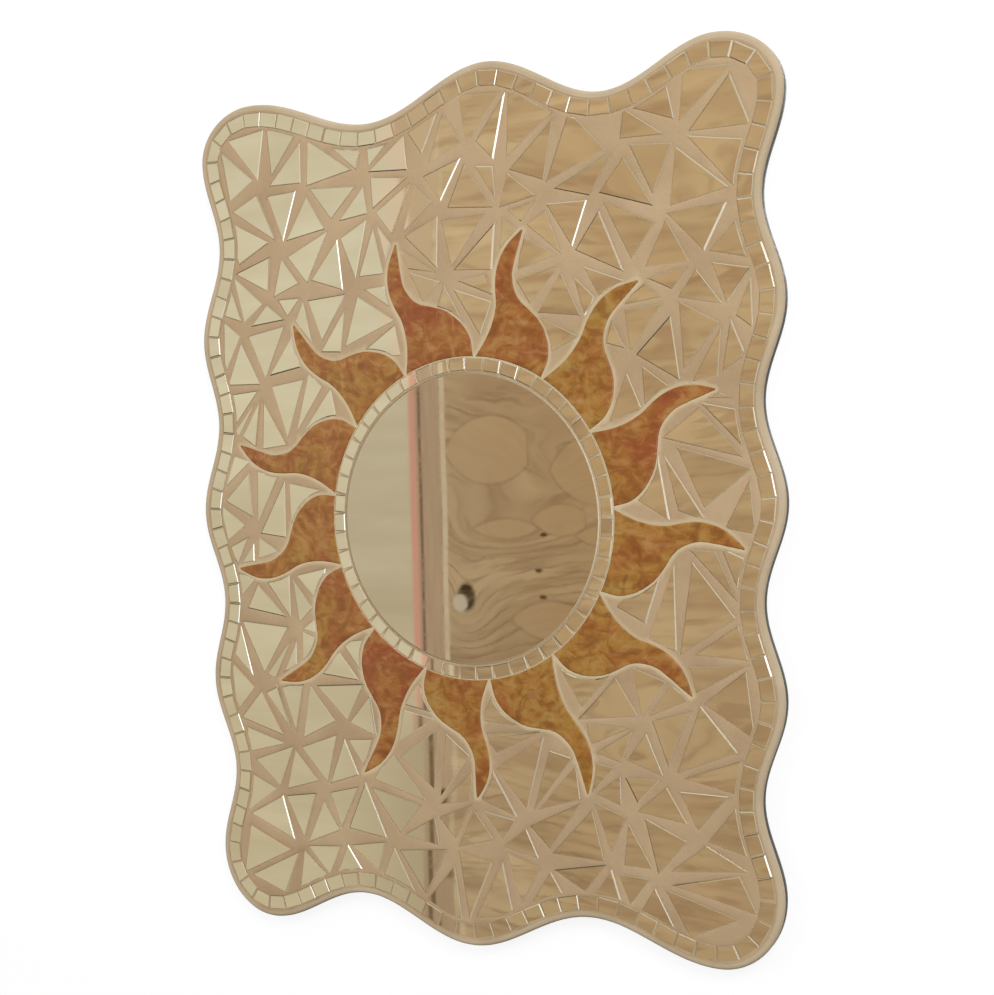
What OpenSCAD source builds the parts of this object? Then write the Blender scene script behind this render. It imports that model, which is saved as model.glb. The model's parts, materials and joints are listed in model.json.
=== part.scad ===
// Wall panel with a wavy edge and a mosaic sun. A round centre mirror sits inside a ring of small
// mirror tiles, with curling stained-glass rays around it. Mirror shards fill the rest of the field,
// a strip of mirror tiles follows the edge, and grout lies between all of them.
// X is the width, Z is up and the front faces -Y. The wall is the plane Y = 0, and the origin lies
// on it behind the panel's centre. Flat patterns are drawn in X and Z and extruded towards -Y.

/* [Panel] */
// Overall width of the panel
panel_w = 610; // [596:2:680]
// Overall height of the panel
panel_h = 806; // [780:2:900]
// How far the sun's centre lies right of the panel's centre
sun_x = 2; // [-6:1:6]
// How far the sun's centre lies below the panel's centre
sun_drop = 3; // [-6:1:10]

/* [Wavy edge] */
// Width of a corner lobe, from the side to the lobe's top
corner_w = 60; // [50:1:70]
// Height of the top corner lobes, from their widest place to the top
corner_top_h = 50; // [44:1:70]
// Height of the bottom corner lobes, from their widest place to the bottom
corner_bottom_h = 66; // [44:1:76]
// Waves along each side
side_waves = 4; // [2:1:5]
// Waves along the top and along the bottom
end_waves = 2; // [1:1:3]
// Depth of the side waves
side_wave_depth = 19.5; // [8:0.5:24]
// Depth of the top and bottom waves
end_wave_depth = 36.5; // [12:0.5:38]
// How far the top edge's middle lobe lies right of centre
top_lobe_shift = 23; // [-28:1:28]
// How far the bottom edge's middle lobe lies right of centre
bottom_lobe_shift = -8; // [-28:1:28]
// How far the top left corner lobe stands in from the side
top_left_in = 12.5; // [0:0.5:14]
// How far the bottom left corner lobe stands in from the side
bottom_left_in = 9; // [0:0.5:14]
// How far the bottom right corner lobe stands in from the side
bottom_right_in = 3.5; // [0:0.5:14]
// How far the top left corner lobe stands down from the top
top_left_down = 5; // [0:0.5:14]
// How far the top right corner lobe stands down from the top
top_right_down = 7; // [0:0.5:14]
// How far the bottom right corner lobe stands up from the bottom
bottom_right_up = 11; // [0:0.5:14]
// Longest straight step along the wavy edge
edge_step = 6; // [5:1:10]

/* [Layers] */
// Thickness of the backing board
board_t = 8; // [6:0.5:18]
// How far the board's edge stands back from the grout above it
board_set = 0.6; // [0.2:0.1:2]
// Thickness of the adhesive under the glass
bed_t = 1; // [0.6:0.2:2]
// Thickness of the mirror and glass pieces
glass_t = 3; // [2:0.5:5]
// How far the grout lies below the glass
grout_recess = 0.5; // [0.2:0.1:1]
// Width of the rounded grout edge
rim_w = 5.6; // [4:0.1:6]
// Radius of the rounded grout edge
rim_round = 3; // [1.5:0.1:3]

/* [Border strip] */
// Grout between the panel's edge and the strip's tiles
strip_margin = 7.4; // [7:0.1:9]
// Width of a strip tile, across the strip
strip_tile_w = 13.4; // [11:0.1:15]
// Length of a strip tile, along the strip
strip_tile_l = 18.4; // [16:0.2:21]
// Joint between strip tiles
strip_joint = 1; // [0.8:0.1:2]

/* [Ring and centre mirror] */
// Outer radius of the ring of tiles
ring_r = 147; // [140:1:150]
// Width of a ring tile, along the radius
ring_tile_w = 11.5; // [9:0.5:14]
// Number of ring tiles
ring_tiles = 49; // [40:1:56]
// Joint between ring tiles, at the inner edge
ring_joint = 1.1; // [0.8:0.1:2]
// Joint between the ring and the centre mirror
mirror_joint = 1.4; // [0.8:0.1:3]

/* [Rays] */
// Joint between the ring and the rays
ray_joint = 1.2; // [0.8:0.1:3]
// Angle of the first ray's base
first_ray = 100; // [90:1:110]
// Least joint between a ray's tip and the border strip
tip_joint = 2.4; // [1.5:0.1:5]
// Joint between two rays at the ring
base_joint = 3; // [2:0.1:5]
// Width of the glass at a ray's tip
tip_w = 1.6; // [1:0.1:3]

/* [Shards] */
// Length of a shard's place along a row
shard_w = 57; // [54:1:70]
// Height of a row of shards
shard_h = 49; // [46:1:60]
// Grout between the rays and the shards
ray_band = 3.6; // [2.5:0.1:6]
// Grout between the border strip and the shards
strip_band = 2.6; // [2:0.1:6]
// How far the outer shards' places reach over the edge of the field, where the shards are cut
edge_over = 8; // [4:0.5:12]
// Radius at which the shards start between the rays
shard_start = 157; // [156:1:164]
// Least joint around a shard, on its own side
shard_joint = 1.4; // [0.8:0.1:2]
// Least turn of a shard in its place, as a share of its sides
shard_turn_min = 0.04; // [0:0.01:0.1]
// Greatest turn of a shard in its place, as a share of its sides
shard_turn_max = 0.2; // [0.1:0.01:0.3]
// Unevenness of the shards, as a share of their size
shard_jitter = 0.28; // [0.1:0.01:0.3]

/* [Hangers and pads] */
// Distance between the two hangers
hanger_span = 360; // [200:10:420]
// Height of the hanger pivots above the panel's centre
hanger_z = 250; // [150:10:280]
// Width of a hanger strap
strap_w = 14; // [12:1:20]
// Thickness of a hanger strap
strap_t = 1.2; // [1:0.1:1.6]
// Diameter of the ring's wire
wire_d = 3; // [2.4:0.2:3.4]
// Gap around the wire in its knuckle, on the radius
wire_gap = 0.05; // [0.03:0.01:0.1]
// Gap between the folded ring and the strap
fold_gap = 0.3; // [0.2:0.1:0.5]
// Gap between the knuckle and the ring's arms, on each side
arm_gap = 0.6; // [0.4:0.1:1]
// Straight length of the ring's arms
arm_l = 6; // [4:0.5:8]
// Distance between the two screws of a strap
screw_pitch = 12; // [10:0.5:16]
// Diameter of a screw
screw_d = 3; // [2.5:0.5:4]
// Diameter of a screw's head
screw_head_d = 6.4; // [5.5:0.1:7.5]
// Height of a screw's head
screw_head_h = 1.8; // [1.2:0.1:2.4]
// Length of a screw in the board
screw_l = 5; // [4:0.5:5.5]
// Distance from the strap's end to its nearer screw
screw_end = 7; // [6:0.5:9]
// Gap between the folded ring and the nearer screw's head
head_gap = 1.2; // [0.6:0.1:3]
// Diameter of a wall pad
pad_d = 20; // [12:1:30]
// Gap that the wall pads leave between the knuckles and the wall
wall_gap = 0.75; // [0.5:0.05:4]
// Distance from the panel's side to the pads' centres
pad_side = 60; // [40:5:100]
// Distance from the panel's top and bottom to the pads' centres
pad_end = 80; // [60:5:140]

/* [Hidden] */
// How far each ray's base is turned from even spacing, in degrees, clockwise from the first ray
RAY_TURN = [0.6, -1.7, -0.5, 1.3, 0, -2.5, -2.7, -2.6, -1.1, 0, 0.5, 1.9, 1.9];
// How far each ray's tip lies outside the ring, as a share of the ring's radius
RAY_LENGTH = [0.79, 0.79, 0.815, 0.805, 0.825, 0.81, 0.85, 0.755, 0.85, 0.83, 0.825, 0.825, 0.81];
// How much each ray curls, as a share of the usual curl
RAY_CURL = [0.85, 1, 0.95, 1.05, 0.95, 1.1, 0.8, 1.3, 1.1, 0.95, 1.2, 1.2, 1];
// A ray's two edges: distance along the ray, as a share, and angle from the base's middle
LEFT_EDGE = [[0, 13], [0.1, 10.9], [0.2, 9.5], [0.32, 8.8], [0.42, 8.9], [0.53, 9.7], [0.65, 10], [0.76, 9.5],
    [0.87, 8.2], [1, 5.6]];
RIGHT_EDGE = [[0, -13], [0.14, -12.2], [0.25, -9.8], [0.33, -6.8], [0.385, -4.1], [0.43, -0.6], [0.47, 2.4],
    [0.53, 4.5], [0.65, 6.1], [0.78, 6.1], [0.9, 5.8], [1, 5.6]];
// Share of a ray's length over which its base fits the gap to its neighbours
BASE_FIT = 0.4;

RAYS = len(RAY_LENGTH);
RAY_NAMES = ["01", "02", "03", "04", "05", "06", "07", "08", "09", "10", "11", "12", "13"];
SIDES = ["top", "left", "bottom", "right"];

// Hanger sizes
wire_r = wire_d / 2;
knuckle_r = wire_r + wire_gap + strap_t;
pivot_h = strap_t + fold_gap + wire_r;
ring_half = strap_w / 2 + arm_gap + wire_r;
ring_reach = arm_l + ring_half + wire_r;
screw_high = ring_reach + head_gap + screw_head_d / 2;
screw_low = screw_high + screw_pitch;
strap_l = screw_low + screw_end;

// Depths in front of the wall
board_back = pivot_h + knuckle_r + wall_gap;
board_front = board_back + board_t;
glass_back = board_front + bed_t;
glass_front = glass_back + glass_t;
grout_front = glass_front - grout_recess;

half_w = panel_w / 2;
half_h = panel_h / 2;
sun = [sun_x, -sun_drop];
strip_inner = strip_margin + strip_tile_w;
mirror_r = ring_r - ring_tile_w - mirror_joint;
ray_start = ring_r + ray_joint;

// Small helpers
function total(list) = len(list) == 0 ? 0 : list * [for (v = list) 1];
function polar(r, a) = sun + r * [cos(a), sin(a)];
function mix(a, b, f) = a + (b - a) * f;
function angle_in(a, low) = a - 360 * floor((a - low) / 360);
function across(r, width) = width / r * 180 / PI;

// Smooth curve through a table of [key, value] pairs, with rising keys
function curve(table, key) = let(
    last = len(table) - 1,
    k = min(max(key, table[0][0]), table[last][0]),
    i = min(last - 1, total([for (row = table) row[0] <= k ? 1 : 0]) - 1),
    a = table[i],
    b = table[i + 1],
    before = table[max(0, i - 1)],
    after = table[min(last, i + 2)],
    gap = b[0] - a[0],
    slope_a = (b[1] - before[1]) / (b[0] - before[0]) * gap,
    slope_b = (after[1] - a[1]) / (after[0] - a[0]) * gap,
    f = (k - a[0]) / gap
) (2 * pow(f, 3) - 3 * f * f + 1) * a[1] + (pow(f, 3) - 2 * f * f + f) * slope_a
    + (3 * f * f - 2 * pow(f, 3)) * b[1] + (pow(f, 3) - f * f) * slope_b;

// The wavy outline, counterclockwise from the right side's bottom lobe
lobe_x = half_w - corner_w;
lobe_top = half_h - corner_top_h;
lobe_bottom = -half_h + corner_bottom_h;
side_l = lobe_top - lobe_bottom;
end_l = 2 * lobe_x;

function wave(depth, turns) = depth / 2 * (1 - cos(360 * turns));
function side_x(f) = half_w - wave(side_wave_depth, side_waves * f);
function end_z(f, shift) = half_h - wave(end_wave_depth, end_waves * (f + 4 * shift / end_l * f * (1 - f)));
// How far an edge stands in, from its first corner's amount over none at its middle to its last corner's
function drawn_back(f, first, last) = (f < 0.5 ? first : last) * (1 + cos(360 * f)) / 2;
function shares(length) = let(n = ceil(length / edge_step)) [for (i = [0 : n - 1]) i / n];
// A quarter of a lobe around a centre, from one edge to the next
function corner(centre, w, h, from) = [for (f = shares((abs(w) + abs(h)) * PI / 4)) let(a = from + 90 * f)
    centre + [w * cos(a), h * sin(a)]];

TOP_RIGHT = [lobe_x, lobe_top - top_right_down];
TOP_LEFT = [-lobe_x + top_left_in, lobe_top - top_left_down];
BOTTOM_LEFT = [-lobe_x + bottom_left_in, lobe_bottom];
BOTTOM_RIGHT = [lobe_x - bottom_right_in, lobe_bottom + bottom_right_up];
OUTLINE = concat(
    [for (f = shares(side_l)) [side_x(f) - drawn_back(f, bottom_right_in, 0),
        mix(BOTTOM_RIGHT[1], TOP_RIGHT[1], f)]],
    corner(TOP_RIGHT, corner_w, corner_top_h, 0),
    [for (f = shares(end_l)) [mix(TOP_RIGHT[0], TOP_LEFT[0], f),
        end_z(f, top_lobe_shift) - drawn_back(f, top_right_down, top_left_down)]],
    corner(TOP_LEFT, corner_w, corner_top_h, 90),
    [for (f = shares(side_l)) [drawn_back(f, top_left_in, bottom_left_in) - side_x(f),
        mix(TOP_LEFT[1], BOTTOM_LEFT[1], f)]],
    corner(BOTTOM_LEFT, corner_w, corner_bottom_h, 180),
    [for (f = shares(end_l)) [mix(BOTTOM_LEFT[0], BOTTOM_RIGHT[0], f),
        drawn_back(f, 0, bottom_right_up) - end_z(f, -bottom_lobe_shift)]],
    corner(BOTTOM_RIGHT, corner_w, corner_bottom_h, 270)
);
POINTS = len(OUTLINE);
NORMALS = [for (i = [0 : POINTS - 1]) let(
    run = OUTLINE[(i + 1) % POINTS] - OUTLINE[(i + POINTS - 1) % POINTS]
) [run[1], -run[0]] / norm(run)];

// The outline moved inwards
function inset(depth) = [for (i = [0 : POINTS - 1]) OUTLINE[i] - depth * NORMALS[i]];

// Radius of an inset outline as seen from the sun's centre, by angle
function reach_table(depth) = let(
    found = [for (p = inset(depth)) [atan2(p[1] - sun[1], p[0] - sun[0]), norm(p - sun)]],
    turned = [for (row = found) [angle_in(row[0], found[0][0]), row[1]]]
) concat([for (row = turned) [row[0] - 360, row[1]]], turned, [for (row = turned) [row[0] + 360, row[1]]]);
STRIP_REACH = reach_table(strip_inner);
FIELD_REACH = [for (row = STRIP_REACH) [row[0], row[1] - strip_band]];
function reach(table, a) = lookup(angle_in(a, -180), table);

// Strip tiles: even steps along the middle of the strip
strip_out = inset(strip_margin);
strip_in = inset(strip_inner);
strip_middle = inset(strip_margin + strip_tile_w / 2);
STRIP_RUN = [for (i = 0, run = 0; i <= POINTS;
    run = run + (i < POINTS ? norm(strip_middle[(i + 1) % POINTS] - strip_middle[i]) : 0), i = i + 1) [run, i]];
strip_len = STRIP_RUN[POINTS][0];
strip_count = floor(strip_len / (strip_tile_l + strip_joint));
function strip_place(k) = lookup(strip_len * k / strip_count, STRIP_RUN);
function along(list, place) = let(i = floor(place) % POINTS, j = (i + 1) % POINTS)
    mix(list[i], list[j], place - floor(place));

// Side of the panel that a strip tile belongs to: 0 top, 1 left, 2 bottom, 3 right
function side_of(p) = abs(p[0]) * half_h > abs(p[1]) * half_w ? (p[0] > 0 ? 3 : 1) : (p[1] > 0 ? 0 : 2);

// Rays: the middle of each base, and half the angle to the next ray's middle
RAY_MID = [for (k = [0 : RAYS - 1]) first_ray + RAY_TURN[k] - 360 / RAYS * k];
HALF_GAP = [for (k = [0 : RAYS - 1])
    (k < RAYS - 1 ? RAY_MID[k] - RAY_MID[k + 1] : RAY_MID[k] - RAY_MID[0] + 360) / 2];
TIP_ANGLE = LEFT_EDGE[len(LEFT_EDGE) - 1][1];
RAY_SEAM = [for (k = [0 : RAYS - 1]) RAY_MID[k] + TIP_ANGLE * RAY_CURL[k]];
RAY_TIP = [for (k = [0 : RAYS - 1])
    min(ring_r * (1 + RAY_LENGTH[k]), reach(STRIP_REACH, RAY_SEAM[k]) - tip_joint)];
function before(k) = (k + RAYS - 1) % RAYS;

// An edge's angle at a share of the ray's length: its base is fitted to the half gap on that side
base_inset = across(ray_start, (base_joint + tip_w) / 2);
function fitted(table, gap, f) =
    curve(table, f) * mix((gap - base_inset) / LEFT_EDGE[0][1], 1, min(1, f / BASE_FIT));
function curl(k, f) = (RAY_CURL[k] - 1) * TIP_ANGLE * f * f;
function ray_share(k, r) = min(1, (r - ray_start) / (RAY_TIP[k] - ray_start));
function ray_left(k, r, band) = let(f = ray_share(k, r))
    RAY_MID[k] + fitted(LEFT_EDGE, HALF_GAP[before(k)], f) + curl(k, f) + across(r, band + tip_w / 2);
function ray_right(k, r, band) = let(f = ray_share(k, r))
    RAY_MID[k] + fitted(RIGHT_EDGE, HALF_GAP[k], f) + curl(k, f) - across(r, band + tip_w / 2);

// Shards: points along the edges of the field and inside it, joined by triangles.
// How far a point lies outside ray k, measured across the ray
function outside_ray(k, r, a) = let(
    left = a - ray_left(k, r, ray_band),
    right = ray_right(k, r, ray_band) - a,
    turns = 360 * round((left - right) / 720)
) max(left - turns, right + turns) * r * PI / 180;
function clear_of_rays(p, least) = let(r = norm(p - sun), a = atan2(p[1] - sun[1], p[0] - sun[0])) min([
    for (k = [0 : RAYS - 1]) r < RAY_TIP[k] ? outside_ray(k, r, a) : norm(p - polar(RAY_TIP[k], RAY_SEAM[k]))
]) > least;
function clear_of_edges(p, least) = let(r = norm(p - sun), a = atan2(p[1] - sun[1], p[0] - sun[0]))
    r > shard_start + least && r < reach(FIELD_REACH, a) - least && clear_of_rays(p, least);

// Points along the border strip
field_edge = inset(strip_inner + strip_band);
cut_edge = inset(strip_inner + strip_band - edge_over);
EDGE_RUN = [for (i = 0, run = 0; i <= POINTS;
    run = run + (i < POINTS ? norm(field_edge[(i + 1) % POINTS] - field_edge[i]) : 0), i = i + 1) [run, i]];
edge_count = round(EDGE_RUN[POINTS][0] / shard_w);
edge_noise = rands(-shard_jitter, shard_jitter, edge_count, 11);
edge_points = [for (k = [0 : edge_count - 1])
    along(cut_edge, lookup(EDGE_RUN[POINTS][0] * (k + 0.5 + edge_noise[k] / 2) / edge_count, EDGE_RUN))];

// Points along the rays, at their tips and where two rays meet. Those along a ray lie this share of its
// width inside it, and the shards are cut along the ray's band
RAY_OVER = 0.2;
ray_stops = [0.4, 0.72];
ray_noise = rands(-shard_jitter, shard_jitter, 4 * RAYS, 12);
function ray_stop(k, j) = mix(shard_start, RAY_TIP[k], ray_stops[j] + ray_noise[4 * k + j] / 3);
function gap_middle(k) = let(r = shard_start, j = before(k))
    (ray_left(k, r, 0) + ray_right(j, r, 0) + (k == 0 ? 360 : 0)) / 2;
ray_points = [for (k = [0 : RAYS - 1]) each concat(
    [polar(shard_start, gap_middle(k)), polar(RAY_TIP[k] + ray_band, RAY_SEAM[k])],
    [for (j = [0, 1]) let(r = ray_stop(k, j))
        polar(r, mix(ray_left(k, r, ray_band), ray_right(k, r, ray_band), RAY_OVER))],
    [for (j = [0, 1]) let(r = ray_stop(k, j))
        polar(r, mix(ray_right(k, r, ray_band), ray_left(k, r, ray_band), RAY_OVER))]
)];

// Points inside the field, on a shaken lattice that stays this share of a row clear of the field's edges
LATTICE_CLEAR = 0.55;
rows = ceil(panel_h / shard_h);
columns = ceil(panel_w / shard_w);
field_noise = rands(-shard_jitter, shard_jitter, 2 * (rows + 1) * (columns + 1), 7);
field_points = [for (i = [0 : rows]) for (j = [0 : columns]) let(
    n = 2 * (i * (columns + 1) + j),
    x = (j - columns / 2 + (i % 2) / 2 + field_noise[n]) * shard_w,
    z = (i - rows / 2 + field_noise[n + 1]) * shard_h
) if (clear_of_edges([x, z], shard_h * LATTICE_CLEAR)) [x, z]];

// Triangles whose circle through the corners holds no other point
corners = concat(edge_points, ray_points, field_points);
look = 2.3 * shard_w;
NEAR = [for (i = [0 : len(corners) - 1])
    [for (j = [0 : len(corners) - 1]) if (j > i && norm(corners[j] - corners[i]) < look) j]];
AROUND = [for (i = [0 : len(corners) - 1]) [for (p = corners) if (norm(p - corners[i]) < look) p]];
function circle_centre(a, b, c) = let(
    u = b - a,
    v = c - a,
    d = 2 * cross(u, v)
) abs(d) < 1 ? a + [look, look] : a + [v[1] * (u * u) - u[1] * (v * v), u[0] * (v * v) - v[0] * (u * u)] / d;
function holds_none(points, centre, r) = min([for (p = points) norm(p - centre)]) > r - 0.001;
TRIANGLES = [for (i = [0 : len(corners) - 1]) for (j = NEAR[i]) for (k = NEAR[i]) if (k > j) let(
    centre = circle_centre(corners[i], corners[j], corners[k]),
    r = norm(corners[i] - centre)
) if (r < look / 2 && holds_none(AROUND[i], centre, r)) [corners[i], corners[j], corners[k]]];

// A shard lies turned inside its triangle: each corner slides along a side by its own amount and is
// then drawn towards the middle, which leaves wedge-shaped joints
function middle(tri) = (tri[0] + tri[1] + tri[2]) / 3;
function area(tri) = abs(cross(tri[1] - tri[0], tri[2] - tri[0])) / 2;
function longest(tri) = max(norm(tri[1] - tri[0]), norm(tri[2] - tri[1]), norm(tri[0] - tri[2]));
function depth_of(tri) = 2 * area(tri) / (3 * longest(tri));
function laid(tri, seed) = let(
    slide = rands(shard_turn_min, shard_turn_max, 3, seed),
    way = rands(0, 1, 1, seed + len(corners))[0] < 0.5 ? 1 : 2,
    least = min(0.5, shard_joint / depth_of(tri))
) [for (i = [0 : 2]) mix(mix(tri[i], tri[(i + way) % 3], slide[i]), middle(tri), least)];
// Triangles shallower than this stay grout, and so do those whose middle lies deeper under a ray than this
least_depth = 2.6;
UNDER_RAY = 2.5;
function in_field(tri) = depth_of(tri) > least_depth && clear_of_rays(middle(tri), -UNDER_RAY)
    && norm(middle(tri) - sun) < reach(FIELD_REACH, atan2(middle(tri)[1] - sun[1], middle(tri)[0] - sun[0]));
SHARDS = [for (i = [0 : len(TRIANGLES) - 1]) if (in_field(TRIANGLES[i])) laid(TRIANGLES[i], i)];

// Shards between ray k and the ray before it, by the direction of their middles
function sector_of(p) = let(a = angle_in(atan2(p[1] - sun[1], p[0] - sun[0]), RAY_SEAM[0] - 360))
    (1 + total([for (k = [1 : RAYS - 1]) a < RAY_SEAM[k] ? 1 : 0])) % RAYS;
function shards(k) = [for (tri = SHARDS) if (sector_of(middle(tri)) == k) tri];

// Flat patterns, with the straight steps along a ray's edges and along its base
ray_steps = 30;
base_steps = 8;

module ray_face(k, band = 0) {
    tip = RAY_TIP[k] + 2 * band;
    stops = [for (i = [0 : ray_steps]) mix(ray_start, tip, i / ray_steps)];
    left = [for (r = stops) polar(r, ray_left(k, r, band))];
    right = [for (i = [ray_steps : -1 : 0]) polar(stops[i], ray_right(k, stops[i], band))];
    base = [for (i = [1 : base_steps - 1])
        polar(ray_start, mix(ray_right(k, ray_start, band), ray_left(k, ray_start, band), i / base_steps))];
    polygon(concat(right, base, left));
}

module shard_faces(k) {
    difference() {
        intersection() {
            polygon(field_edge);
            union() {
                for (tri = shards(k)) polygon(tri);
            }
        }
        ray_face(k, ray_band);
        ray_face(before(k), ray_band);
    }
}

module ring_faces() {
    r = ring_r - ring_tile_w;
    l = 2 * r * tan(180 / ring_tiles) - ring_joint;
    for (i = [0 : ring_tiles - 1])
        translate(sun)
            rotate(first_ray + 360 / ring_tiles * i)
                translate([r, -l / 2])
                    square([ring_tile_w, l]);
}

module mirror_face() {
    translate(sun) circle(r = mirror_r, $fn = 180);
}

module strip_faces(side) {
    joint = strip_joint * strip_count / strip_len;
    for (k = [0 : strip_count - 1]) {
        from = strip_place(k + joint / 2);
        to = strip_place(k + 1 - joint / 2);
        if (side == -1 || side_of(along(strip_middle, strip_place(k + 0.5))) == side)
            polygon([along(strip_out, from), along(strip_out, to), along(strip_in, to), along(strip_in, from)]);
    }
}

// A flat pattern as a layer between two depths in front of the wall
module layer(back, front) {
    translate([0, -back, 0]) rotate([90, 0, 0]) linear_extrude(front - back) children();
}

module glass_layer() {
    layer(glass_back, glass_front) children();
}

// Pieces of the panel
module backing_board() {
    color("#2f2b27")
        difference() {
            layer(board_back, board_front) polygon(inset(board_set));
            for (side = [-1, 1])
                screw_places(side)
                    rotate([90, 0, 0]) cylinder(d = screw_d, h = screw_l, $fn = 32);
        }
}

module adhesive_bed() {
    color("#cfc6b4") layer(board_front, glass_back) polygon(inset(rim_w));
}

module grout_field() {
    color("#b99a72")
        layer(glass_back, grout_front)
            difference() {
                polygon(inset(rim_w));
                strip_faces(-1);
                ring_faces();
                mirror_face();
                for (k = [0 : RAYS - 1]) ray_face(k);
                for (k = [0 : RAYS - 1]) shard_faces(k);
            }
}

// The rounded grout edge: one cross-section swept along the outline, its arc in a few straight steps
rim_steps = 4;

module grout_rim() {
    arc = [for (i = [0 : rim_steps]) let(a = 90 * i / rim_steps)
        [rim_round * (1 - cos(a)), grout_front - rim_round * (1 - sin(a))]];
    profile = concat([[0, board_front]], arc, [[rim_w, grout_front], [rim_w, board_front]]);
    n = len(profile);
    points = [for (i = [0 : POINTS - 1]) for (q = profile)
        let(p = OUTLINE[i] - q[0] * NORMALS[i]) [p[0], -q[1], p[1]]];
    faces = [for (i = [0 : POINTS - 1]) for (j = [0 : n - 1]) let(i2 = (i + 1) % POINTS, j2 = (j + 1) % n)
        each [[i * n + j, i2 * n + j, i2 * n + j2], [i * n + j, i2 * n + j2, i * n + j2]]];
    color("#c9b48c") polyhedron(points, faces);
}

module centre_mirror() {
    color("#b7a888") glass_layer() mirror_face();
}

module ring_tile_set() {
    color("#c3c2a4") glass_layer() ring_faces();
}

module sun_ray(k) {
    color("#b5651d") glass_layer() ray_face(k);
}

module border_tiles(side) {
    color("#c3c2a4") glass_layer() strip_faces(side);
}

module mirror_shards(k) {
    color("#b9ac8c") glass_layer() shard_faces(k);
}

// Hangers: side is -1 for the left one and 1 for the right one, seen from the front
pivot_y = -board_back + pivot_h;

module at_hanger(side) {
    translate([side * hanger_span / 2, 0, hanger_z]) children();
}

// The two screw places of a strap, on the board's back face
module screw_places(side) {
    for (z = [screw_high, screw_low]) at_hanger(side) translate([0, -board_back, -z]) children();
}

module hanger_strap(side) {
    color("#c8b37a")
        difference() {
            at_hanger(side)
                union() {
                    translate([-strap_w / 2, -board_back, -strap_l]) cube([strap_w, strap_t, strap_l]);
                    translate([0, pivot_y, 0])
                        rotate([0, 90, 0]) cylinder(r = knuckle_r, h = strap_w, center = true, $fn = 64);
                }
            at_hanger(side) translate([0, pivot_y, 0]) rotate([0, 90, 0])
                cylinder(r = wire_r + wire_gap, h = strap_w + 2, center = true, $fn = 64);
            screw_places(side)
                rotate([-90, 0, 0]) cylinder(d = screw_d, h = strap_t * 3, center = true, $fn = 32);
        }
}

module hanger_ring(side) {
    color("#c9b98f")
        at_hanger(side)
            translate([0, pivot_y, 0])
                union() {
                    rotate([0, 90, 0]) cylinder(r = wire_r, h = 2 * ring_half, center = true, $fn = 48);
                    for (s = [-1, 1]) {
                        translate([s * ring_half, 0, 0]) sphere(r = wire_r, $fn = 48);
                        translate([s * ring_half, 0, -arm_l]) cylinder(r = wire_r, h = arm_l, $fn = 48);
                    }
                    translate([0, 0, -arm_l])
                        rotate([90, 0, 0])
                            rotate([0, 0, 180])
                                rotate_extrude(angle = 180, $fn = 96)
                                    translate([ring_half, 0]) circle(r = wire_r, $fn = 48);
                }
}

// The cross in a screw's head: length of an arm as a share of the head, width and depth
CROSS_L = 0.6;
CROSS_W = 0.8;
CROSS_D = 0.8;

module hanger_screws(side) {
    color("#8f8f8c")
        screw_places(side)
            union() {
                rotate([90, 0, 0]) cylinder(d = screw_d, h = screw_l, $fn = 32);
                rotate([-90, 0, 0]) cylinder(d = screw_d, h = strap_t, $fn = 32);
                translate([0, strap_t, 0])
                    rotate([-90, 0, 0])
                        difference() {
                            cylinder(d = screw_head_d, h = screw_head_h, $fn = 48);
                            translate([0, 0, screw_head_h])
                                for (a = [0, 90])
                                    rotate(a)
                                        cube([screw_head_d * CROSS_L, CROSS_W, 2 * CROSS_D], center = true);
                        }
            }
}

module wall_pad(sx, sz) {
    color("#2c2c2c")
        translate([sx * (half_w - pad_side), 0, sz * (half_h - pad_end)])
            rotate([90, 0, 0])
                cylinder(d = pad_d, h = board_back, $fn = 64);
}

backing_board();
adhesive_bed();
grout_field();
grout_rim();
centre_mirror();
ring_tile_set();
for (k = [0 : RAYS - 1]) {
    sun_ray(k);
    mirror_shards(k);
}
for (s = [0 : 3]) border_tiles(s);
hanger_strap(-1);  // hanger_strap_left
hanger_strap(1);  // hanger_strap_right
hanger_ring(-1);  // hanger_ring_left
hanger_ring(1);  // hanger_ring_right
hanger_screws(-1);  // hanger_screws_left
hanger_screws(1);  // hanger_screws_right
wall_pad(-1, 1);  // wall_pad_top_left
wall_pad(1, 1);  // wall_pad_top_right
wall_pad(-1, -1);  // wall_pad_bottom_left
wall_pad(1, -1);  // wall_pad_bottom_right
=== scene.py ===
import json
import math
import random

import bpy
from mathutils import Matrix, Vector, geometry, kdtree, noise


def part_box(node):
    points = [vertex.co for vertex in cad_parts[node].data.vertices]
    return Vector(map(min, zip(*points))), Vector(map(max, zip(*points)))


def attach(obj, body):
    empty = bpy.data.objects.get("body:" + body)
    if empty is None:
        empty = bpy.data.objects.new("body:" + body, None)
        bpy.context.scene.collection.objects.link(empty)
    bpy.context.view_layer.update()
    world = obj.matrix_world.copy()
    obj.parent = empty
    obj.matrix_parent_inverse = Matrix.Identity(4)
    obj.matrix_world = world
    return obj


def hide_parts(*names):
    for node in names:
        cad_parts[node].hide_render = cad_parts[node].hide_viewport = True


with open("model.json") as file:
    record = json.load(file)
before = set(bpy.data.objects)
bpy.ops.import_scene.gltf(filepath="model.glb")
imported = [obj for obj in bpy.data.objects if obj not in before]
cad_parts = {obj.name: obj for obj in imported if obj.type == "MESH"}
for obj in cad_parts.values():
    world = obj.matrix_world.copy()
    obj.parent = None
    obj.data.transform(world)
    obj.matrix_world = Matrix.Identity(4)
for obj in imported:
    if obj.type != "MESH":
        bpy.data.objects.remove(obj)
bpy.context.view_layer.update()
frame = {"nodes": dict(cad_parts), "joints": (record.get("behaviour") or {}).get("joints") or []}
NODES = frame["nodes"]
SUN = (2.0, -3.0)
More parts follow.
